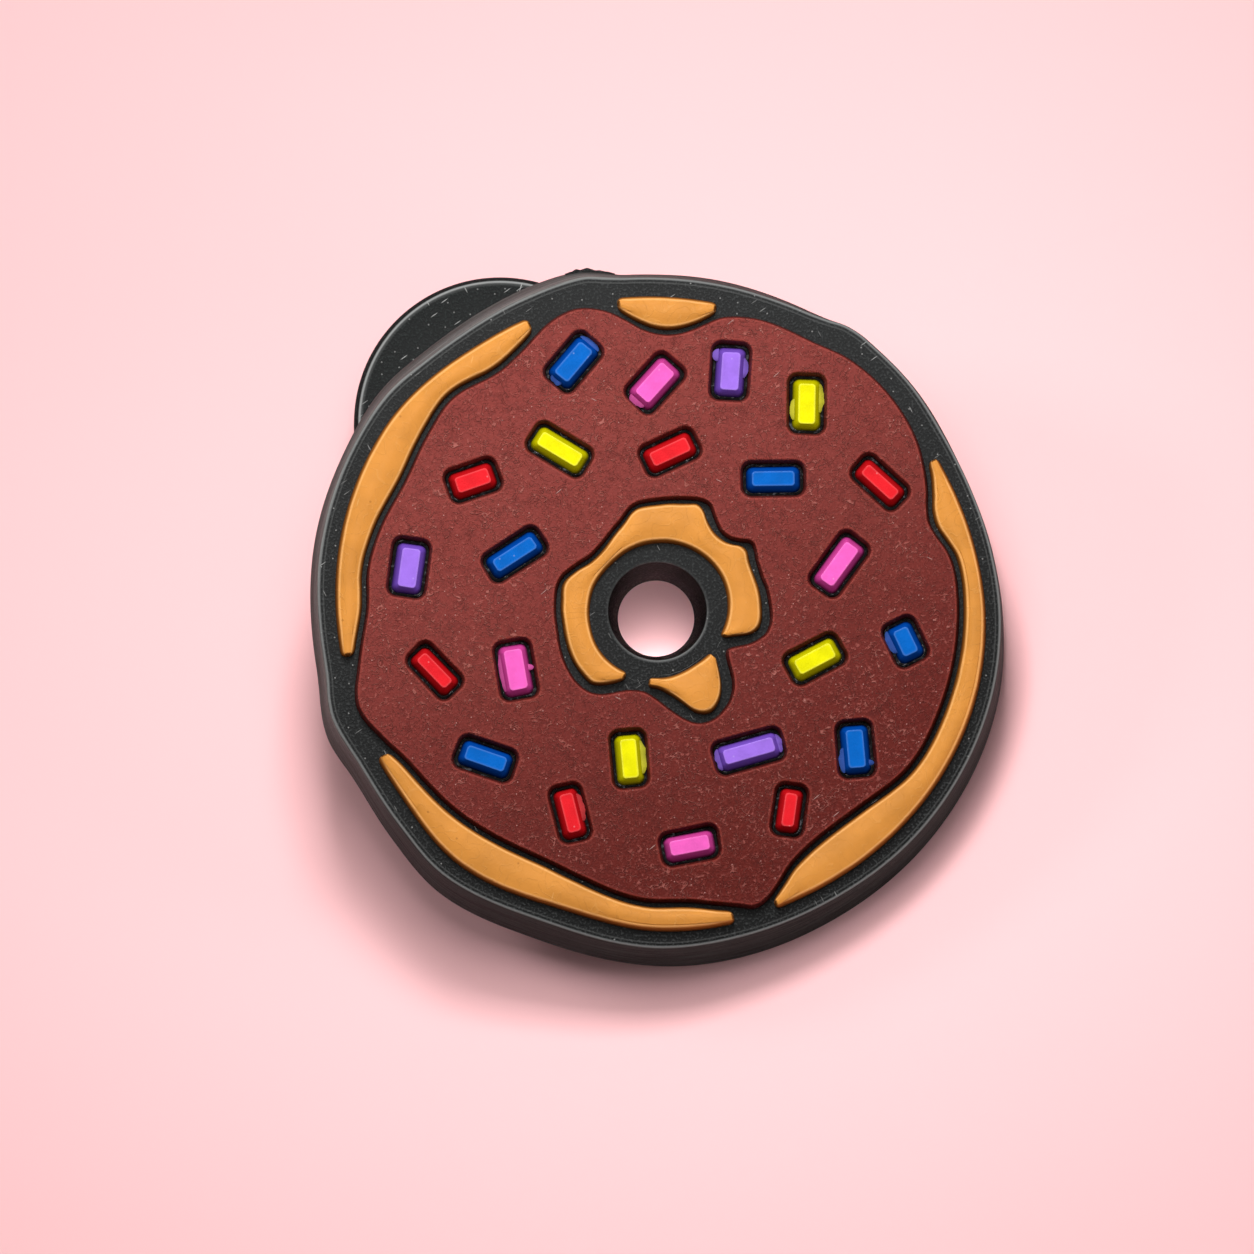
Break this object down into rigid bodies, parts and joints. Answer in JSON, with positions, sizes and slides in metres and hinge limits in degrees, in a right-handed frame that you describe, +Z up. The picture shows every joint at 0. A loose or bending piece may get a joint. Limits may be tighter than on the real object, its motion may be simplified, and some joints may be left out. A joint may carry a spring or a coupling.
{
  "type": "chocolate doughnut shoe charm",
  "caption": "Flat moulded plastic doughnut with raised chocolate icing and bar sprinkles, on a black plate with a button stud behind its rim.",
  "frame": {"origin": "on the table, under the middle of the charm's bounding box as it lies face up on its button and far edge", "axes": "+Z up; +Y towards the raised side, where the stud is; the doughnut's face looks up and leans 19.5 degrees towards -Y"},
  "size_m": [0.0298, 0.0338, 0.013],
  "materials": {
    "black_pvc": "fine sandy grain on the face, smooth satin wall",
    "black_button": "satin, lightly scratched",
    "chocolate_icing": "matt red-brown with a fine fibre grain",
    "dough": "satin tan",
    "sprinkle_blue": "satin",
    "sprinkle_pink": "satin",
    "sprinkle_purple": "satin",
    "sprinkle_yellow": "satin",
    "sprinkle_red": "satin"
  },
  "bodies": {
    "root": {"backing_plate": "black_pvc", "stud": "black_button", "chocolate_icing": "chocolate_icing", "dough_top": "dough", "dough_upper_left": "dough", "dough_lower_left": "dough", "dough_right": "dough", "dough_ring": "dough", "dough_drop": "dough", "sprinkle_blue_1": "sprinkle_blue", "sprinkle_blue_2": "sprinkle_blue", "sprinkle_blue_3": "sprinkle_blue", "sprinkle_blue_4": "sprinkle_blue", "sprinkle_blue_5": "sprinkle_blue", "sprinkle_blue_6": "sprinkle_blue", "sprinkle_pink_1": "sprinkle_pink", "sprinkle_pink_2": "sprinkle_pink", "sprinkle_pink_3": "sprinkle_pink", "sprinkle_pink_4": "sprinkle_pink", "sprinkle_purple_1": "sprinkle_purple", "sprinkle_purple_2": "sprinkle_purple", "sprinkle_purple_3": "sprinkle_purple", "sprinkle_yellow_1": "sprinkle_yellow", "sprinkle_yellow_2": "sprinkle_yellow", "sprinkle_yellow_3": "sprinkle_yellow", "sprinkle_yellow_4": "sprinkle_yellow", "sprinkle_red_1": "sprinkle_red", "sprinkle_red_2": "sprinkle_red", "sprinkle_red_3": "sprinkle_red", "sprinkle_red_4": "sprinkle_red", "sprinkle_red_5": "sprinkle_red", "sprinkle_red_6": "sprinkle_red"}
  },
  "joints": []
}
